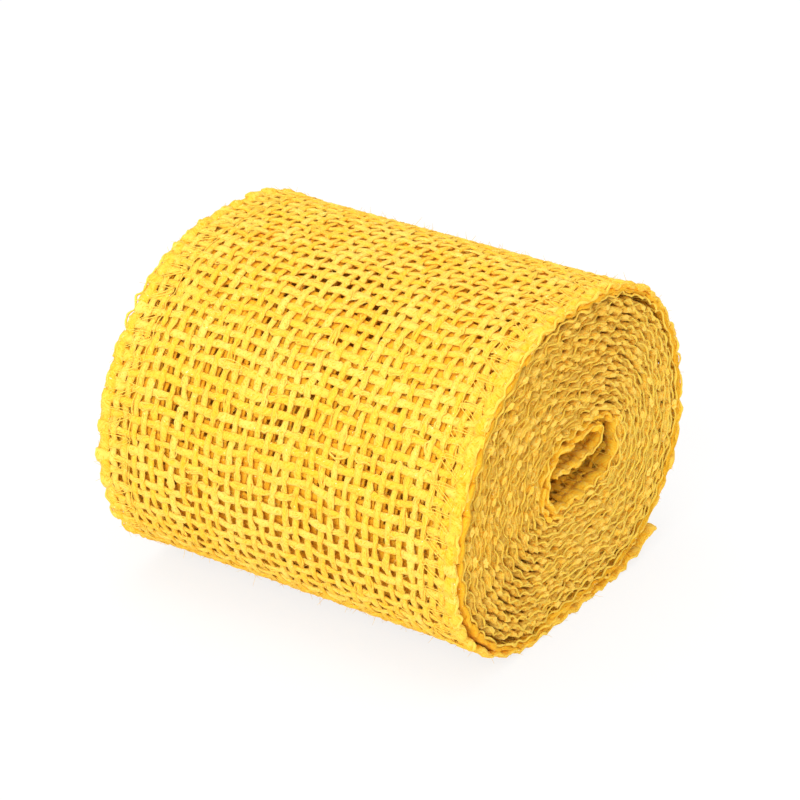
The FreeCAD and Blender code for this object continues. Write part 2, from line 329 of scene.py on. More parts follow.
class Tree(Nodes):
    """A geometry node tree that is written as a list of steps."""

    kinds = {float: "Float", int: "Int", bool: "Bool"}

    def __init__(self, name, inputs, outputs=None):
        """An input is given as its first value, or as its kind where it has none."""
        self.tree = bpy.data.node_groups.new(name, "GeometryNodeTree")
        super().__init__(self.tree)
        self.tree.is_modifier = True
        for label, value in inputs.items():
            kind = self.kinds.get(type(value), value)
            socket = self.socket(label, "INPUT", kind)
            if kind != value:
                socket.default_value = value
        for label, kind in (outputs or {"Geometry": "Geometry"}).items():
            self.socket(label, "OUTPUT", kind)
        self.entry = self.node("NodeGroupInput")
        self.exit = self.node("NodeGroupOutput")

    def socket(self, label, way, kind):
        return self.tree.interface.new_socket(label, in_out=way, socket_type=f"NodeSocket{kind}")

    def __getitem__(self, label):
        return Field(self, self.entry.outputs[label])

    def plug(self, node, key, value):
        if isinstance(key, int):
            socket = node.inputs[key]
        else:
            socket = next(s for s in node.inputs if s.name == key and s.enabled)
        if isinstance(value, Field):
            self.links.new(value.socket, socket)
        else:
            socket.default_value = value

    def take(self, node, key=0):
        """An output of a node, by place or by name."""
        if isinstance(key, int):
            return Field(self, [s for s in node.outputs if s.enabled][key])
        return Field(self, next(s for s in node.outputs if s.name == key and s.enabled))

    def get(self, kind, inputs=None, key=0, **settings):
        return self.take(self.node(kind, inputs, **settings), key)

    def math(self, operation, *values, clamp=False):
        return self.get("ShaderNodeMath", dict(enumerate(values)), operation=operation, use_clamp=clamp)

    def vector(self, operation, *values):
        return self.get("ShaderNodeVectorMath", dict(enumerate(values)), operation=operation)

    def xyz(self, x=0.0, y=0.0, z=0.0):
        return self.get("ShaderNodeCombineXYZ", {0: x, 1: y, 2: z})

    def noise(self, x, y=0.0, z=0.0, detail=1.0):
        """Smooth noise from about -0.5 to 0.5, one wave to a unit."""
        found = self.get("ShaderNodeTexNoise", {"Vector": self.xyz(x, y, z), "Scale": 1.0, "Detail": detail})
        return self.math("SUBTRACT", found, 0.5)

    def chance(self, x, y=0.0):
        """A random number from 0 to 1 for each whole number."""
        return self.get("ShaderNodeTexWhiteNoise", {"Vector": self.xyz(x, y, 0.5)}, noise_dimensions="3D")

    def wave(self, turns):
        """A cosine that repeats once a unit."""
        return self.math("COSINE", turns * (2 * math.pi))

    def index(self):
        return self.get("GeometryNodeInputIndex")

    def stored(self, mesh, name, value, kind="FLOAT_VECTOR", domain="POINT"):
        """The mesh with a named attribute."""
        inputs = {"Geometry": mesh, "Name": name, "Value": value}
        return self.get("GeometryNodeStoreNamedAttribute", inputs, data_type=kind, domain=domain)

    def captured(self, points, **values):
        """The points, and the values that they have at this step."""
        node = self.node("GeometryNodeCaptureAttribute", {"Geometry": points}, domain="POINT")
        for label, value in values.items():
            node.capture_items.new("VECTOR" if value.is_vector() else "FLOAT", label)
            self.plug(node, label, value)
        return self.take(node, "Geometry"), *(self.take(node, label) for label in values)

    def place(self):
        return self.get("GeometryNodeInputPosition")

    def over_floor(self, mesh, floor):
        """The mesh with what hangs under the floor pressed flat on it."""
        x, y, z = (self.get("ShaderNodeSeparateXYZ", {0: self.place()}, key=k) for k in range(3))
        rested = self.xyz(x, y, self.math("MAXIMUM", z, floor))
        return self.get("GeometryNodeSetPosition", {"Geometry": mesh, "Position": rested})

    def tube(self, curve, section, **inputs):
        """A curve given a section, closed at both ends."""
        inputs = {"Curve": curve, "Profile Curve": section, **inputs, "Fill Caps": True}
        return self.get("GeometryNodeCurveToMesh", inputs)

    def draw(self, low, high, salt=0):
        """A random number or vector for each item, from the tree's seed."""
        is_vector = isinstance(low, tuple)
        places = (0, 1) if is_vector else (2, 3)
        return self.get(
            "FunctionNodeRandomValue",
            {places[0]: low, places[1]: high, "Seed": self["Seed"] + salt},
            data_type="FLOAT_VECTOR" if is_vector else "FLOAT",
        )

    def join(self, *meshes):
        """Joins meshes, which all go into the join node's one socket."""
        joined = self.node("GeometryNodeJoinGeometry")
        for mesh in meshes:
            self.links.new(mesh.socket, joined.inputs[0])
        return self.take(joined)

    def finish(self, mesh, smooth=True):
        if smooth:
            mesh = self.get("GeometryNodeSetShadeSmooth", {"Geometry": mesh})
        real = self.get("GeometryNodeRealizeInstances", {"Geometry": mesh})
        done = self.get("GeometryNodeSetMaterial", {"Geometry": real, "Material": self["Material"]})
        self.plug(self.exit, "Geometry", done)
        return self.tree


def once(build):
    """A tree is built the first time that it is asked for."""
    made = {}

    def give():
        if "tree" not in made:
            made["tree"] = build()
        return made["tree"]

    return give


def given(*labels, first=0.0):
    """Inputs that every piece gives a value to."""
    return dict.fromkeys(labels, first)


CLOTH_INPUTS = {
    "Line": "Geometry",
    **given("Half Width", "Stitch", "Ruffle", "Flare", "Lift"),
    "Slack": 0.0,
    "Slack Start": 0.0,
    "Slack Finish": 1.0,
}


@once
def cloth_place():
    """Where a point of the cloth lies, from its distance along the strip, across it and above it."""
    t = Tree(
        "Cloth place",
        {**CLOTH_INPUTS, **given("Along", "Across", "Above")},
        {"Position": "Vector", "Inward": "Vector"},
    )
    along, across = t["Along"], t["Across"]
    along_mm = along * PER_MM
    side = t.math("SIGN", across)
    ruffled = 7.0 * MM
    share = t.math("DIVIDE", t.math("ABSOLUTE", across) - t["Half Width"] + ruffled, ruffled, clamp=True)
    near_edge = share * share
    phase = along / t["Stitch"] + t.noise(along_mm / 9, side * 31.7) * 1.6 + side * 0.21
    wave = t.wave(phase) * 0.7 + t.noise(along_mm / 2.6, side * 11.3, 4.0) * 2.2
    length = t["Slack Finish"] - t["Slack Start"]
    loose = 1 - t.math("ABSOLUTE", (along - t["Slack Start"]) / length * 2 - 1)
    loose = t.math("MAXIMUM", loose, 0.0)
    loose = loose * loose * (3 - loose * 2) * t["Slack"]
    above = t["Above"] + t["Lift"] + (t["Ruffle"] * wave - t["Flare"]) * near_edge - loose
    drawn_in = (t.wave(phase + 0.3) * 0.2 + 0.2 + t.noise(along_mm / 1.9, side * 5.1, 9.0) * 0.6) * share * MM
    drift = t.noise(along_mm / 45, 3.0) * 1.3 * MM
    sample = t.node("GeometryNodeSampleCurve", {"Curves": t["Line"], "Length": along}, mode="LENGTH")
    inward = t.vector("CROSS_PRODUCT", t.take(sample, "Tangent"), (0, 1, 0))
    inward = t.vector("NORMALIZE", inward)
    spot = t.take(sample, "Position") + inward * above + t.xyz(0, across + drift - side * drawn_in, 0)
    t.plug(t.exit, "Position", spot)
    t.plug(t.exit, "Inward", inward)
    return t.tree


def on_cloth(t, line, along, across, above):
    """Adds the cloth place group to a tree, and returns the position and the inward direction."""
    group = t.node("GeometryNodeGroup", node_tree=cloth_place())
    values = {label: t[label] for label in CLOTH_INPUTS}
    values.update({"Line": line, "Along": along, "Across": across, "Above": above})
    for label, value in values.items():
        t.plug(group, label, value)
    return t.take(group, "Position"), t.take(group, "Inward")


def sweep(t, samples, position, inward, strand, width, thickness, sides, scale, tone, twist):
    """Joins points into strands, one for each strand number, with oval sections.

    "fibre" holds where the twisted fibres lie on a strand, "heading" which way the strand goes, and
    "tone" how pale it is. The finishes and the hairs read them.
    """
    apart, lump_depth, lump_stretch = 7.31, 0.75, (0.8, 0.8, 0.9)
    points = t.get("GeometryNodePoints", {"Count": samples})
    strands = t.get("GeometryNodePointsToCurves", {"Points": points, "Curve Group ID": strand})
    own = strand * apart
    strands, inward, tone, scale, own = t.captured(strands, inward=inward, tone=tone, scale=scale, own=own)
    strands = t.get("GeometryNodeSetPosition", {"Geometry": strands, "Position": position})
    heading = t.get("GeometryNodeInputTangent")
    normal = t.vector("CROSS_PRODUCT", t.vector("CROSS_PRODUCT", heading, inward), heading)
    strands = t.get("GeometryNodeSetCurveNormal", {"Curve": strands, "Normal": normal}, mode="FREE")
    run = t.get("GeometryNodeSplineParameter", key="Length")
    strands, run, heading = t.captured(strands, run=run, heading=heading)
    ring = t.get("GeometryNodeCurvePrimitiveCircle", {"Resolution": sides, "Radius": 0.5})
    ring, around = t.captured(ring, around=t.get("GeometryNodeSplineParameter", key="Factor"))
    oval = t.get("GeometryNodeTransform", {"Geometry": ring, "Scale": t.xyz(thickness, width, 1.0)})
    mesh = t.tube(strands, oval, Scale=scale)
    run_mm = run * PER_MM
    turned = around + run_mm * twist
    fibre = t.xyz(t.wave(turned), t.wave(turned - 0.25), run_mm + own)
    rough = {"Vector": t.vector("MULTIPLY", fibre, lump_stretch), "Scale": 1.0, "Detail": 2.0}
    lump = (t.get("ShaderNodeTexNoise", rough) - 0.5) * thickness * lump_depth
    offset = t.get("GeometryNodeInputNormal") * lump
    mesh = t.get("GeometryNodeSetPosition", {"Geometry": mesh, "Offset": offset})
    mesh = t.over_floor(mesh, YARN_FLOOR)
    mesh = t.stored(mesh, "fibre", fibre)
    mesh = t.stored(mesh, "heading", heading)
    return t.stored(mesh, "tone", tone, "FLOAT")


@once
def woven_cloth():
    """Warp and weft of a stretch of the strip, woven over and under each other."""
    t = Tree(
        "Woven cloth",
        {
            **CLOTH_INPUTS,
            **given("Pick", "Crowding", "Start", "Finish", "Low End", "High End", "Width", "Thickness"),
            **given("Ends", "First Pick", "Picks", "First End", "Shown Ends", first=0),
            "Fray Start": 0.0,
            "Fray Finish": 0.0,
            "Weft Ends Out": 0.2,
            "Rings": 4,
            "Sides": 6,
            "Unevenness": 1.2,
            "Hem Ends": 1.2,
            "Hem Fullness": 0.8,
            "Tone": 0.2,
            "Wisps": False,
            "Wisp Width": 0.34 * MM,
            "Material": "Material",
        },
    )
    line = t.get("GeometryNodeMeshToCurve", {"Mesh": t["Line"]})
    index = t.index()

    def lie(pick, end):
        """Distances along and across the strip of a place counted in picks and ends."""
        off_pick = t.noise(pick * 0.9, end * 0.2) * 0.5 + t.noise(pick * 0.15, end * 0.17, 3.0) * 0.9
        off_end = t.noise(end * 0.9, pick * 0.2, 6.0) * 0.5 + t.noise(end * 0.16, pick * 0.12, 9.0) * 0.8
        share = (end + off_end * t["Unevenness"]) / t["Ends"] * 2 - 1
        spread = share * (t["Crowding"] + 1) - share * share * share * t["Crowding"]
        return (pick + off_pick * t["Unevenness"]) * t["Pick"], spread * t["Half Width"]

    def yarns(samples, yarn, pick, end, is_weft, salt, wisp=0):
        """One set of yarns, or of the wisps that wander beside them."""
        along, across = lie(pick, end)
        bow = t["Thickness"] * 0.27
        if is_weft:
            over = t.wave((end - 0.5) / 2 + yarn / 2 + 0.5)
            place, width = end, 1.16
        else:
            over = t.wave((pick - 0.5) / 2 + yarn / 2)
            place, width = pick, 0.98
        above = over * (1.5 - over * over * 0.5) * bow
        slow = t.noise(place * 0.4, yarn * 7.7, salt)
        # The tone input shifts every yarn's tone. The eye's cloth and the under turn set it low, which paints
        # shade on them.
        tone = t.chance(yarn, salt) * 0.4 + slow * 0.9 + t["Tone"]
        lump = slow * 1.1 + t.noise(pick * 1.1, end * 1.1, salt + 5.0) * 0.7
        from_edge = t.math("MINIMUM", end, t["Ends"] - end)
        hem = t.math("ADD", t["Hem Ends"] + 0.3 - from_edge, 0.0, clamp=True) * t["Hem Fullness"]
        scale = 1 + lump * t["Unevenness"] + hem
        if wisp:
            wander = t.noise(place * 0.9, yarn * 5.3, salt + wisp * 17.0) * (3.0 * MM)
            above = above - (t.noise(place * 1.2, yarn * 6.1, salt + wisp * 23.0) + 0.15) * (0.5 * MM)
            if is_weft:
                along = along + wander
            else:
                across = across + wander
            scale = t.noise(place * 0.7, yarn * 4.1, salt + wisp * 29.0) * 1.6 + 1.1
        position, inward = on_cloth(t, line, along, across, above)
        if wisp:
            size = t["Wisp Width"]
            shape = (size, size * 0.5, 4, scale, tone + 0.15, 0.1)
        else:
            shape = (t["Width"] * width, t["Thickness"], t["Sides"], scale, tone, 0.28)
        return sweep(t, samples, position, inward, yarn, *shape)

    def counted(per_yarn):
        yarn = t.math("FLOOR", (index + 0.5) / per_yarn)
        return yarn, (index - yarn * per_yarn) / (per_yarn - 1)

    def warp(rings, wisp=0):
        each = t["Picks"] * rings + 1
        yarn, share = counted(each)
        end = yarn + t["First End"]
        begin = t["Start"] - t["Fray Start"] * t.chance(end, 21.0)
        stop = t["Finish"] + t["Fray Finish"] * t.chance(end, 22.0)
        pick = (begin + (stop - begin) * share) / t["Pick"]
        return yarns(t["Shown Ends"] * each, end, pick, end + 0.5, False, 1.0, wisp)

    def weft(rings, wisp=0):
        each = t["Shown Ends"] * rings + 1
        yarn, share = counted(each)
        pick = yarn + t["First Pick"]
        low = t["Low End"] - (t.chance(pick, 31.0) - 0.35) * t["Weft Ends Out"]
        high = t["High End"] + (t.chance(pick, 32.0) - 0.35) * t["Weft Ends Out"]
        return yarns(t["Picks"] * each, pick, pick + 0.5, low + (high - low) * share, True, 2.0, wisp)

    wisp_rings, wisps_each = 3, 3
    shown = {
        "Switch": t["Wisps"],
        "False": t.join(warp(t["Rings"]), weft(t["Rings"])),
        "True": t.join(*(made(wisp_rings, k + 1) for made in (warp, weft) for k in range(wisps_each))),
    }
    return t.finish(t.get("GeometryNodeSwitch", shown, input_type="GEOMETRY"))


@once
def overlock_threads():
    """The threads that wrap one edge of the strip: the loopers, where they lock, and the needle thread."""
    t = Tree(
        "Overlock threads",
        {
            **CLOTH_INPUTS,
            **given("Start", "Finish", "Side", "Needle Line", "Reach", "Width"),
            "Stitches": 0,
            "Height": 0.36 * MM,
            "Points": 12,
            "Sides": 5,
            "Material": "Material",
        },
    )
    line = t.get("GeometryNodeMeshToCurve", {"Mesh": t["Line"]})
    index = t.index()
    samples = t["Stitches"] * t["Points"] + 1
    share = index / (samples - 1)
    distance = t["Start"] + (t["Finish"] - t["Start"]) * share
    stitch = distance / t["Stitch"]
    edge = t["Half Width"] + 0.1 * MM

    def strand(number, along, across, above, width, frayed=0.6):
        uneven = t.noise(stitch * 1.3, t["Side"] * 3.0, number)
        spot, inward = on_cloth(t, line, along * t["Stitch"], (across + uneven * 0.6 * MM) * t["Side"], above)
        tone = t.noise(stitch * 0.21, number * 9.0) + 0.3
        size = t["Width"] * width
        shape = (size, size, t["Sides"], uneven * frayed + 1, tone, 0.9)
        return sweep(t, samples, spot, inward, index * 0 + number, *shape)

    def looper(number, phase, face, lean, reach, width):
        """Swings between the edge and its reach on one face, upright one way and leaning the other."""
        swing = t.wave(stitch + phase)
        out = swing * 0.5 + 0.5
        across = reach + (edge - reach) * out
        above = t.math("SQRT", 1.0001 - out * out) * t["Height"] * face
        return strand(number, stitch + swing * lean, across, above, width)

    shorter = t["Reach"] + 0.4 * MM
    loopers = (
        looper(1.0, 0.0, -1.0, 0.2, t["Reach"], 1.0),
        looper(2.0, 0.08, -0.94, 0.26, shorter, 0.9),
        looper(3.0, 0.45, 1.0, -0.2, shorter, 1.0),
    )
    at_edge = edge + t.wave(stitch + 0.1) * (0.1 * MM)
    lock = strand(4.0, stitch, at_edge, t.noise(stitch * 1.6, 5.0) * (0.8 * MM), 2.4, 2.6)
    dash = t.math("ABSOLUTE", t.wave(stitch * 0.5 + 0.1))
    needle = strand(5.0, stitch, t["Needle Line"] + index * 0, dash * t["Height"] * -1.1, 1.1)
    return t.finish(t.join(*loopers, lock, needle))


@once
def wound_band():
    """The hidden middle of the wound layers, as one thin closed band."""
    sizes = given("Start", "Finish", "Width", "Thickness")
    t = Tree("Wound band", {**CLOTH_INPUTS, **sizes, "Samples": 0, "Material": "Material"})
    line = t.get("GeometryNodeMeshToCurve", {"Mesh": t["Line"]})
    share = t.index() / (t["Samples"] - 1)
    distance = t["Start"] + (t["Finish"] - t["Start"]) * share
    spot, inward = on_cloth(t, line, distance, 0.0, 0.0)
    points = t.get("GeometryNodePoints", {"Count": t["Samples"]})
    strip = t.get("GeometryNodePointsToCurves", {"Points": points, "Curve Group ID": 0})
    strip, inward = t.captured(strip, inward=inward)
    strip = t.get("GeometryNodeSetPosition", {"Geometry": strip, "Position": spot})
    strip = t.get("GeometryNodeSetCurveNormal", {"Curve": strip, "Normal": inward}, mode="FREE")
    size = {"Width": t["Thickness"], "Height": t["Width"]}
    mesh = t.tube(strip, t.get("GeometryNodeCurvePrimitiveQuadrilateral", size))
    mesh = t.stored(mesh, "fibre", t.place() * PER_MM)
    return t.finish(t.stored(mesh, "tone", 0.1, "FLOAT"), smooth=False)


@once
def loose_fibres():
    """Hairs that leave the yarns they are spun into, most of them along the yarn."""
    t = Tree(
        "Loose fibres",
        {
            "Yarns": "Geometry",
            "Density": 0.0,
            "Hair Length": 1.1 * MM,
            "Hair Width": 0.06 * MM,
            "Lean": 0.9,
            "Seed": 0,
            "Material": "Material",
        },
    )
    spread = {"Mesh": t["Yarns"], "Density": t["Density"], "Seed": t["Seed"]}
    roots = t.node("GeometryNodeDistributePointsOnFaces", spread)
    size = t["Hair Length"]
    hair = t.get(
        "GeometryNodeCurvePrimitiveBezierSegment",
        {
            "Resolution": 2,
            "Start": (0, 0, 0),
            "Start Handle": t.xyz(0, 0, size * 0.4),
            "End Handle": t.xyz(size * 0.25, 0, size * 0.7),
            "End": t.xyz(size * 0.3, size * 0.1, size),
        },
    )
    ring = t.get("GeometryNodeCurvePrimitiveCircle", {"Resolution": 3, "Radius": t["Hair Width"] * 0.5})
    taper = 1.15 - t.get("GeometryNodeSplineParameter", key="Factor") * 0.7
    hair = t.tube(hair, ring, Scale=taper)
    luck = t.math("POWER", t.draw(0.0, 1.0, 3), 6.0)
    stray = t.draw((-1.0, -1.0, -1.0), (1.0, 1.0, 1.0), 7) * (t["Lean"] + luck * 1.6)
    heading = t.get("GeometryNodeInputNamedAttribute", {"Name": "heading"}, data_type="FLOAT_VECTOR")
    forwards = t.math("SIGN", t.draw(-1.0, 1.0, 5))
    direction = heading * forwards + stray + t.take(roots, "Normal") * 0.12
    rolled = {"Rotation": t.draw((0.0, 0.0, -3.1), (0.0, 0.0, 3.1), 9), "Vector": direction}
    turned = t.get("FunctionNodeAlignRotationToVector", rolled, axis="Z")
    length = t.draw(0.0, 1.0, 11)
    length = length * length * 1.1 + 0.45
    placed = {"Instance": hair, "Rotation": turned, "Scale": t.xyz(1.0, 1.0, length)}
    hairs = t.get("GeometryNodeInstanceOnPoints", {"Points": t.take(roots, "Points"), **placed})
    hairs = t.stored(hairs, "tone", t.draw(0.2, 1.0, 13), "FLOAT", domain="INSTANCE")
    real = t.over_floor(t.get("GeometryNodeRealizeInstances", {"Geometry": hairs}), HAIR_FLOOR)
    return t.finish(t.stored(real, "fibre", t.place() * PER_MM), smooth=False)


@once
def loose_thread():
    """One thread along a line of its own."""
    t = Tree("Loose thread", {"Line": "Geometry", "Width": 0.13 * MM, "Material": "Material"})
    line = t.get("GeometryNodeMeshToCurve", {"Mesh": t["Line"]})
    ring = t.get("GeometryNodeCurvePrimitiveCircle", {"Resolution": 5, "Radius": t["Width"] * 0.5})
    mesh = t.stored(t.tube(line, ring), "fibre", t.place() * PER_MM)
    return t.finish(t.stored(mesh, "tone", 0.6, "FLOAT"))


# ---------------------------------------------------------------- finishes


WHITE = (1.0, 1.0, 1.0, 1.0)


class Shading(Nodes):
    """Shader nodes, whose values are sockets or plain numbers."""

    def plug(self, node, key, value):
        socket = node.inputs[key]
        if isinstance(value, bpy.types.NodeSocket):
            self.links.new(value, socket)
        else:
            socket.default_value = value

    def seen(self):
        """1 for what the camera sees, straight or in a gloss, and 0 for light."""
        path = self.node("ShaderNodeLightPath").outputs
        rays = {0: path["Is Camera Ray"], 1: path["Is Glossy Ray"]}
        return self.node("ShaderNodeMath", rays, operation="MAXIMUM").outputs[0]


class Finish(Shading):
    """A node material that is written as a list of steps."""

    def __init__(self, name):
        self.material = bpy.data.materials.new(name)
        self.material.use_nodes = True
        super().__init__(self.material.node_tree)
        self.shader = self.nodes["Principled BSDF"]

    def fibres(self, stretch, scale, detail):
        """Noise drawn out along the yarn."""
        place = self.node("ShaderNodeAttribute", attribute_name="fibre").outputs["Vector"]
        drawn = self.node("ShaderNodeMapping", {"Vector": place, "Scale": stretch}).outputs["Vector"]
        inputs = {"Vector": drawn, "Scale": scale, "Detail": detail}
        return self.node("ShaderNodeTexNoise", inputs).outputs[0]

    def between(self, value, low, high):
        """Takes low..high to 0..1, with a soft start and finish."""
        inputs = {"Value": value, "From Min": low, "From Max": high}
        return self.node("ShaderNodeMapRange", inputs, interpolation_type="SMOOTHSTEP").outputs[0]

    def mixed(self, share, first, second):
        made = self.node("ShaderNodeMix", data_type="RGBA")
        self.plug(made, 0, share)
        self.plug(made, 6, first)
        self.plug(made, 7, second)
        return made.outputs[2]


def rgba(value):
    return (*value, 1.0)


def spun_finish(name, shades, streaks, relief, roughness, sheen):
    """Spun fibre: streaks that follow the twist, a slow change of shade, pale flecks and a soft nap.

    The shades are the deep colour, the body and the pale colour, as linear colours. The deep colour falls in
    the grooves of the streaks, which the bump sinks, so it paints shade there; it also falls in random darker
    patches. The pale colour falls on the streaks' crests, so it paints highlights there; it also pales yarns
    at random.
    """
    if name in bpy.data.materials:
        return bpy.data.materials[name]
    f = Finish(name)
    deep, plain, light = (rgba(shade) for shade in shades)
    fleck_colour, nap_colour = rgba((1.0, 0.93, 0.62)), rgba((1.0, 0.86, 0.45))
    strand = f.fibres((1.0, 1.0, 0.3), streaks, 3.0)
    patch = f.fibres((0.3, 0.3, 0.28), 1.0, 2.0)
    fleck = f.fibres((1.2, 1.2, 1.6), 1.7, 1.0)
    dark_patch = f.fibres((1.1, 1.1, 1.3), 2.1, 2.0)
    tone = f.node("ShaderNodeAttribute", attribute_name="tone").outputs["Fac"]
    lit = f.node("ShaderNodeMath", {0: patch, 1: tone}, operation="ADD").outputs[0]
    # Painted shade and highlight: the streak noise also drives the bump, so its grooves take the deep colour
    # and its crests the pale one.
    body = f.mixed(f.between(strand, 0.28, 0.52), deep, plain)
    body = f.mixed(f.between(lit, 0.55, 1.5), body, light)
    body = f.mixed(f.between(strand, 0.56, 0.78), body, light)
    body = f.mixed(f.between(dark_patch, 0.50, 0.30), body, deep)
    body = f.mixed(f.between(fleck, 0.72, 0.82), body, fleck_colour)
    bump = {"Strength": 0.7, "Distance": relief, "Height": strand}
    for key, value in (
        ("Base Color", body),
        ("Normal", f.node("ShaderNodeBump", bump).outputs[0]),
        ("Roughness", roughness),
        ("Specular IOR Level", 0.06),
        ("Sheen Weight", sheen),
        ("Sheen Roughness", 0.5),
        ("Sheen Tint", nap_colour),
    ):
        f.plug(f.shader, key, value)
    return f.material


JUTE_YARN = {"streaks": 2.4, "relief": 0.09 * MM, "roughness": 0.9, "sheen": 0.12}


def jute(colours):
    shades = (colours.jute_deep_and_shade, colours.jute, colours.jute_pale_and_highlight)
    return spun_finish("dyed jute", shades, **JUTE_YARN)


def shaded_jute(colours):
    """Jute that shows only through the holes of the layer over it. It carries painted shade: its colours are
    darker, more orange copies of the jute's, which stand in for light that has bounced between the layers.
    """
    shades = (colours.jute_deep_and_shade, colours.jute_under_painted_shade, colours.jute)
    return spun_finish("shaded jute", shades, **JUTE_YARN)


def thread(colours):
    shades = (colours.jute, colours.thread, colours.jute_pale_and_highlight)
    return spun_finish("sewing thread", shades, streaks=1.4, relief=0.03 * MM, roughness=0.7, sheen=0.1)


# ---------------------------------------------------------------- making pieces


def run_tree(name, tree, mesh, values):
    """Runs a node tree on a mesh and returns a plain mesh object, with no modifier left."""
    piece = bpy.data.objects.new(name, mesh)
    bpy.context.scene.collection.objects.link(piece)
    modifier = piece.modifiers.new("Build", "NODES")
    modifier.node_group = tree
    wanted = dict(values)
    for socket in tree.interface.items_tree:
        if socket.item_type == "SOCKET" and socket.in_out == "INPUT" and socket.name in wanted:
            modifier[socket.identifier] = wanted.pop(socket.name)
    if wanted:
        raise RuntimeError(f"{tree.name} has no input named {sorted(wanted)}")
    graph = bpy.context.evaluated_depsgraph_get()
    built = piece.evaluated_get(graph)
    made = bpy.data.meshes.new_from_object(built, preserve_all_data_layers=True, depsgraph=graph)
    piece.modifiers.clear()
    piece.data = made
    made.name = name
    if not made.polygons:
        raise RuntimeError(f"{name} came out empty")
    return piece


class Maker:
    """What each operator needs: the sizes, the winding line and the finishes."""

    def __init__(self, context):
        scene = context.scene
        self.winding, self.cloth = scene.ribbon_winding, scene.ribbon_cloth
        self.colours = scene.ribbon_colours
        self.line = Winding(self.winding)
        low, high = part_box(f"turn_{self.winding.turns:02d}")
        self.width = high.y - low.y
        self.half_width = self.width / 2

    def lie(self, ruffle=1.0, flare=0.0, lift=0.0):
        """The inputs that every tree on the cloth shares."""
        c = self.cloth
        return {
            "Half Width": self.half_width,
            "Stitch": c.stitch,
            "Ruffle": c.ruffle * ruffle,
            "Flare": flare,
            "Lift": lift,
        }

    def outer_lie(self):
        """The outer turn's edges flare, because no layer holds them, and its lower left hangs loose."""
        end = self.line.end(f"turn_{self.winding.turns:02d}")
        slack = {"Slack": 0.9 * MM, "Slack Start": end - 40 * MM, "Slack Finish": end - 3 * MM}
        return {**self.lie(1.1, flare=0.15 * MM, lift=0.12 * MM), **slack}

    def tail_lie(self):
        """The tail eases outwards to its tip, which leaves room for it to close on the turn behind."""
        first, tip = self.line.start("tail_1"), self.line.end(f"tail_{TAIL_PIECES}")
        ease = {"Slack": 0.35 * MM, "Slack Start": first, "Slack Finish": tip * 2 - first}
        return {**self.outer_lie(), **ease}

    def weave(self, name, start, finish, lie, low_end=0, high_end=None, **extra):
        """A woven stretch of the strip from one distance to another."""
        c = self.cloth
        ends = c.ends
        high_end = ends if high_end is None else high_end
        first_pick = math.ceil(start / c.pick - 0.5)
        last_pick = math.ceil(finish / c.pick - 0.5)
        values = {
            **lie,
            "Pick": c.pick,
            "Ends": ends,
            "Crowding": c.edge_crowding,
            "Start": start,
            "Finish": finish,
            "First Pick": first_pick,
            "Picks": last_pick - first_pick,
            "First End": math.floor(low_end),
            "Shown Ends": math.ceil(high_end) - math.floor(low_end),
            "Low End": float(low_end),
            "High End": float(high_end),
            "Width": c.yarn_width,
            "Thickness": c.yarn_thickness,
            "Material": jute(self.colours),
            **extra,
        }
        return run_tree(name, woven_cloth(), self.line.mesh(), values)

    def sew(self, name, edge, start, finish, lie, reach=None, **extra):
        """The overlock threads along one edge, from one distance to another."""
        c = self.cloth
        needle = self.half_width - c.hem
        values = {
            **lie,
            "Start": start,
            "Finish": finish,
            "Stitches": max(1, round((finish - start) / c.stitch)),
            "Side": float(SIDES[edge]),
            "Needle Line": needle,
            "Reach": needle if reach is None else self.half_width - reach,
            "Width": c.thread,
            "Material": thread(self.colours),
            **extra,
        }
        return run_tree(name, overlock_threads(), self.line.mesh(), values)

    def sew_both(self, name, start, finish, lie, **extra):
        """The overlock threads along both edges of a stretch that rides on the roll."""
        seams = []
        for edge in SIDES:
            seams.append(self.sew(f"{edge}_{name}_stitching", edge, start, finish, lie, **extra))
            settle(seams[-1])
        return seams


def settle(piece, nodes=(), body="root"):
    """Gives a piece its body and the solids that it stands for."""
    if body:
        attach(piece, body)
    if nodes:
        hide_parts(*nodes)


# ---------------------------------------------------------------- operators


class RIBBON_OT_eye(bpy.types.Operator):
    """Weaves the cloth round the eye: the fold and the first turn"""

    bl_idname = "ribbon.eye"
    bl_label = "Eye"

    def execute(self, context):
        m = Maker(context)
        start, finish = m.line.start("inner_fold"), m.line.end("turn_01")
        lie = m.lie(1.5)
        # The tone of -0.9 paints shade on the eye's cloth: it is darker because the inside of the eye lies in
        # shade.
        cloth = m.weave("eye_cloth", start - INTO_GAP, finish, lie, Tone=-0.9)
        settle(cloth, ["inner_fold", "turn_01"])
        seams = m.sew_both("eye", start - INTO_GAP, finish, lie, Sides=4)
        return {"FINISHED"}


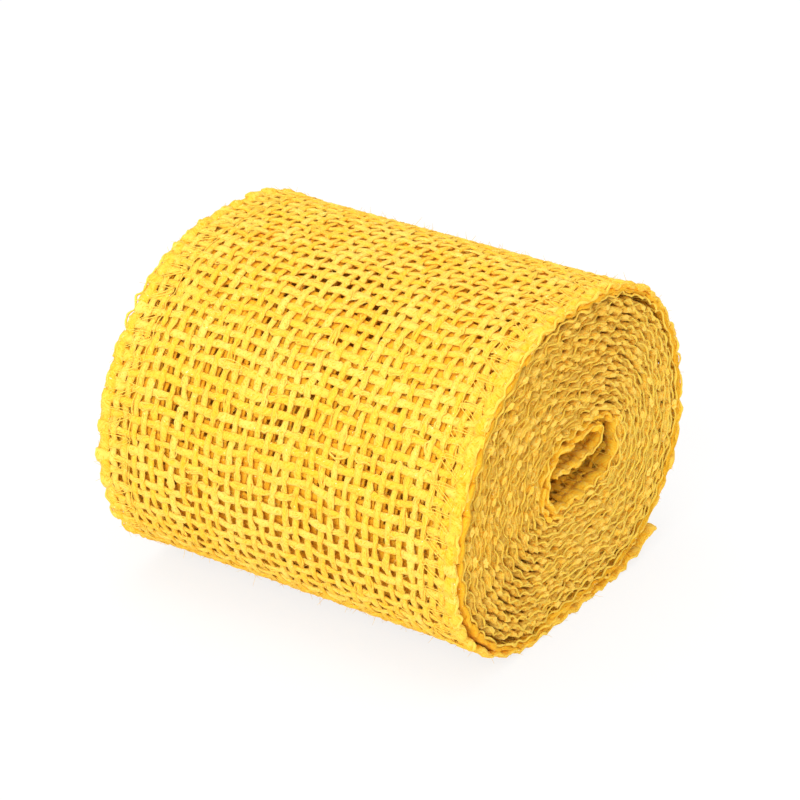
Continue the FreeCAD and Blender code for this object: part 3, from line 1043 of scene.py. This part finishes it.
class RIBBON_OT_inner_turns(bpy.types.Operator):
    """Winds the inner layers: a band, and the woven and sewn edges that show at both ends"""

    bl_idname = "ribbon.inner_turns"
    bl_label = "Inner turns"

    def execute(self, context):
        m = Maker(context)
        last = m.winding.turns - 2
        start, finish = m.line.start("turn_02"), m.line.end(f"turn_{last:02d}")
        values = {
            **m.lie(0.0),
            "Start": start,
            "Finish": finish,
            "Samples": 1500,
            "Width": m.width - 7 * MM,
            "Thickness": m.winding.cloth * 1.4,
            "Material": jute(m.colours),
        }
        band = run_tree("inner_turns", wound_band(), m.line.mesh(), values)
        settle(band, [f"turn_{n:02d}" for n in range(2, last + 1)])
        edges = []
        ends, hem_ends = m.cloth.ends, 4
        lie = m.lie(1.0)
        full = {"Weft Ends Out": 0.3, "Hem Fullness": 0.25, "Tone": 0.5, "Thickness": 0.6 * MM}
        short = {"reach": 3.2 * MM, "Points": 8, "Sides": 3}
        threads = ("needle_thread", "upper_looper", "lower_looper")
        for edge, low, high in (("front", 0, hem_ends), ("rear", ends - hem_ends, ends)):
            hem = m.weave(f"{edge}_inner_hem", start, finish, lie, low, high, Rings=3, Sides=5, **full)
            settle(hem)
            seam = m.sew(f"{edge}_inner_stitching", edge, start, finish, lie, **short)
            settle(seam, [f"{edge}_{kind}" for kind in threads])
            edges += [hem, seam]
        return {"FINISHED"}


OUTER_CLOTHS = ("outer_turn_right", "outer_turn_top", "outer_turn_left", "resting_run_cloth")


class RIBBON_OT_outer_turns(bpy.types.Operator):
    """Weaves the two outer turns and the run that the roll rests on"""

    bl_idname = "ribbon.outer_turns"
    bl_label = "Outer turns"

    def execute(self, context):
        m = Maker(context)
        turns = m.winding.turns
        self.under_turn(m, f"turn_{turns - 1:02d}")
        outer = f"turn_{turns:02d}"
        lie = m.outer_lie()
        start, finish, last = m.line.start(outer), m.line.end(outer), m.line.start("tail_1") - TAIL_LEAD
        cuts = [start, start + (finish - start) / 3, start + (finish - start) * 2 / 3, finish, last]
        stands_for = {"outer_turn_right": [outer], "resting_run_cloth": ["resting_run"]}
        for name, low, high in zip(OUTER_CLOTHS, cuts, cuts[1:]):
            cloth = m.weave(name, low, high, lie)
            settle(cloth, stands_for.get(name, ()))
            settle(m.weave(f"{name}_wisps", low, high, lie, Wisps=True))
            seams = m.sew_both(name, low, high, lie)
            high - low
        return {"FINISHED"}

    def under_turn(self, m, node):
        """The turn that shows through the outer one's holes. It is fuller, nests against it, and carries
        painted shade: a lower tone and the shaded jute finish.
        """
        start, finish = m.line.start(node), m.line.end(node)
        # The lower tone and the shaded jute finish paint a deeper shade on the covered turn.
        fuller_and_painted_shade = {"Width": m.cloth.yarn_width * 1.27, "Thickness": 0.36 * MM, "Tone": 0.0}
        look = {**fuller_and_painted_shade, "Rings": 3, "Sides": 5, "Material": shaded_jute(m.colours)}
        cloth = m.weave("under_turn", start, finish, m.lie(1.0, lift=-0.56 * MM), **look)
        settle(cloth, [node])
        seams = m.sew_both("under", start, finish, m.lie(1.0), Points=10, Sides=4)


class RIBBON_OT_loose_ends(bpy.types.Operator):
    """Weaves the tongue in the eye and the lifted tail"""

    bl_idname = "ribbon.loose_ends"
    bl_label = "Loose ends"

    def execute(self, context):
        m = Maker(context)
        line = m.line
        tip, root = 0.2 * MM, line.end("tongue_gap") - INTO_GAP
        frayed = {"Fray Start": 0.9 * MM}
        bend = (root, root - 2 * MM)
        self.loose(m, "tongue", m.lie(1.5), (tip, root), ("root", "tongue"), bend, frayed, {"Sides": 4})
        lie = m.tail_lie()
        pieces = range(1, TAIL_PIECES + 1)
        middles = [(line.start(f"tail_{k}") + line.end(f"tail_{k}")) / 2 for k in pieces]
        tip = line.end(f"tail_{TAIL_PIECES}") - 0.6 * MM
        cuts = [line.start("tail_1") - TAIL_LEAD, *middles[:-1], tip]
        for k in pieces:
            frayed = {"Fray Finish": 1.4 * MM} if k == TAIL_PIECES else {}
            hinge = line.start(f"tail_gap_{k}")
            bend = (hinge - 1.3 * MM, hinge + 1.6 * MM)
            bodies = ("root" if k == 1 else f"tail_{k - 1}", f"tail_{k}")
            self.loose(m, f"tail_{k}", lie, cuts[k - 1 : k + 1], bodies, bend, frayed, {})
        return {"FINISHED"}

    def loose(self, m, node, lie, span, bodies, bend, frayed, finer):
        """Weaves and sews a loose stretch."""
        pieces = {node: m.weave(f"{node}_cloth", *span, lie, **frayed)}
        for edge in SIDES:
            seam = m.sew(f"{edge}_{node}_stitching", edge, *span, lie, **finer)
            pieces[f"{node}_{edge}_threads"] = seam
        start, end = (tuple(m.line.at(distance)) for distance in bend)
        for stands_for, piece in pieces.items():
            settle(piece, [stands_for], body=None)
            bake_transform(piece)


class RIBBON_OT_fibres(bpy.types.Operator):
    """Raises the loose fibres on the outer cloth"""

    bl_idname = "ribbon.fibres"
    bl_label = "Loose fibres"

    def execute(self, context):
        cloth_density, hem_density = 350000.0, 500000.0
        sources = [(name, f"{name}_fibres", cloth_density, 11 + k) for k, name in enumerate(OUTER_CLOTHS)]
        for k, edge in enumerate(SIDES):
            sources.append((f"{edge}_inner_stitching", f"{edge}_inner_fibres", hem_density, 21 + k))
        material = jute(context.scene.ribbon_colours)
        for source, name, density, seed in sources:
            if source not in bpy.data.objects:
                raise RuntimeError(f"Make {source} before its loose fibres")
            values = {"Density": density, "Seed": seed, "Material": material}
            settle(run_tree(name, loose_fibres(), bpy.data.objects[source].data, values))
        return {"FINISHED"}


class RIBBON_OT_loose_threads(bpy.types.Operator):
    """Adds the few thread ends that curl away from the stitching and the weave"""

    bl_idname = "ribbon.loose_threads"
    bl_label = "Loose threads"

    def execute(self, context):
        m = Maker(context)
        face = -m.half_width - 0.35 * MM
        side = m.line.end(f"turn_{m.winding.turns:02d}") - 50.8 * MM
        ring = self.loop(8.2, 18.9, 1.5, 0.9, 1.7)
        curl = self.loop(-11.6, 27.0, 0.8, 0.6, 1.3)
        arch = self.loop(9.8, 0.0, 1.9, 0.6, 1.6)
        lines = {
            "eye_ring": [(x, face - 0.2 * MM * abs(t - 0.6), z) for t, x, z in ring],
            "eye_curl": [(x, face, z) for _, x, z in curl],
            "side_loop": [
                tuple(m.line.outside(side + along, across, (0.35 + 0.3 * math.sin(math.pi * t)) * MM))
                for t, across, along in arch
            ],
        }
        for name, points in lines.items():
            mesh = bpy.data.meshes.new(f"{name}_line")
            mesh.from_pydata(points, [(k, k + 1) for k in range(len(points) - 1)], [])
            settle(run_tree(name, loose_thread(), mesh, {"Material": thread(m.colours)}))
        return {"FINISHED"}

    def loop(self, x, y, wide, tall, turns, steps=40):
        """Share of the way, and both coordinates, of a loop that opens out. It is given in millimetres."""
        for k in range(steps + 1):
            t = k / steps
            angle, size = (t * turns - 0.4) * 2 * math.pi, 0.75 + 0.9 * (t - 0.35) ** 2
            drift = (t - 0.5) * wide * 1.2
            across = x + wide * size * math.cos(angle) + drift
            yield t, across * MM, (y + tall * size * math.sin(angle) - drift * 0.2) * MM


class RIBBON_OT_stage(bpy.types.Operator):
    """Sets the floor, the soft lights, the pale surround and the camera"""

    bl_idname = "ribbon.stage"
    bl_label = "Stage"

    def execute(self, context):
        scene = context.scene
        scene.view_settings.view_transform = "Standard"
        bpy.ops.mesh.primitive_plane_add(size=6)
        floor = context.object
        floor.name = "floor"
        floor.data.materials.append(self.floor_finish(scene.ribbon_colours))
        self.surround(scene)
        middle = Vector((0, 0, 25 * MM))
        for name, place, size, power in (
            ("key_light", (-0.75, -0.15, 0.50), 0.60, 3.65),
            ("top_light", (-0.10, 0.15, 0.95), 0.80, 3.0),
            ("fill_light", (0.35, -0.80, 0.35), 0.80, 0.35),
        ):
            data = bpy.data.lights.new(name, "AREA")
            data.shape, data.size, data.energy = "DISK", size, power
            lamp = bpy.data.objects.new(name, data)
            lamp.location = place
            lamp.rotation_euler = (middle - Vector(place)).to_track_quat("-Z", "Y").to_euler()
            scene.collection.objects.link(lamp)
        self.camera(scene)
        return {"FINISHED"}

    def floor_finish(self, colours):
        """Pale paper that looks white where nothing shades it, and keeps the roll's shadow."""
        f = Finish("pale floor")
        f.plug(f.shader, "Base Color", rgba(colours.floor))
        f.plug(f.shader, "Roughness", 0.9)
        glow = f.node("ShaderNodeEmission", {"Color": WHITE, "Strength": 1.0}).outputs[0]
        share = f.node("ShaderNodeMath", {0: f.seen(), 1: 0.8}, operation="MULTIPLY").outputs[0]
        mixed = f.node("ShaderNodeMixShader", {0: share, 1: f.shader.outputs[0], 2: glow}).outputs[0]
        f.links.new(mixed, f.nodes["Material Output"].inputs["Surface"])
        return f.material

    def surround(self, scene):
        """White where the camera sees it, and a little less bright as a light."""
        world = bpy.data.worlds.new("pale surround")
        world.use_nodes = True
        scene.world = world
        w = Shading(world.node_tree)
        strength = w.node("ShaderNodeMapRange", {"Value": w.seen(), "To Min": 0.80}).outputs[0]
        background = w.nodes["Background"]
        w.plug(background, "Color", WHITE)
        w.plug(background, "Strength", strength)

    def camera(self, scene):
        data = bpy.data.cameras.new("camera")
        data.lens, data.sensor_width = 135, 36
        camera = bpy.data.objects.new("camera", data)
        scene.collection.objects.link(camera)
        turn, rise, away = math.radians(-55.89), math.radians(26.79), 428.1 * MM
        target = Vector((1.03, 0, 25.07)) * MM
        back = Vector((math.sin(turn) * math.cos(rise), -math.cos(turn) * math.cos(rise), math.sin(rise)))
        camera.location = target + back * away
        camera.rotation_euler = (-back).to_track_quat("-Z", "Y").to_euler()
        scene.camera = camera


OPERATORS = (
    RIBBON_OT_eye,
    RIBBON_OT_inner_turns,
    RIBBON_OT_outer_turns,
    RIBBON_OT_loose_ends,
    RIBBON_OT_fibres,
    RIBBON_OT_loose_threads,
    RIBBON_OT_stage,
)


class RIBBON_PT_roll(bpy.types.Panel):
    """Lists the sizes, the colours and the steps that make the roll"""

    bl_idname = "RIBBON_PT_roll"
    bl_label = "Ribbon roll"
    bl_space_type = "VIEW_3D"
    bl_region_type = "UI"
    bl_category = "Ribbon"

    def draw(self, context):
        for group in ("ribbon_winding", "ribbon_cloth", "ribbon_colours"):
            values = getattr(context.scene, group)
            column = self.layout.box().column()
            for key in values.__annotations__:
                column.prop(values, key)
        for operator in OPERATORS:
            self.layout.operator(operator.bl_idname)


GROUPS = {"ribbon_winding": WindingSizes, "ribbon_cloth": ClothSizes, "ribbon_colours": RibbonColours}
CLASSES = (*GROUPS.values(), *OPERATORS, RIBBON_PT_roll)


def register():
    for made in CLASSES:
        bpy.utils.register_class(made)
    for name, group in GROUPS.items():
        setattr(bpy.types.Scene, name, PointerProperty(type=group))


def unregister():
    for name in GROUPS:
        delattr(bpy.types.Scene, name)
    for made in reversed(CLASSES):
        bpy.utils.unregister_class(made)


def main():
    register()
    for operator in OPERATORS:
        group, name = operator.bl_idname.split(".")
        getattr(getattr(bpy.ops, group), name)()


if __name__ == "__main__":
    main()
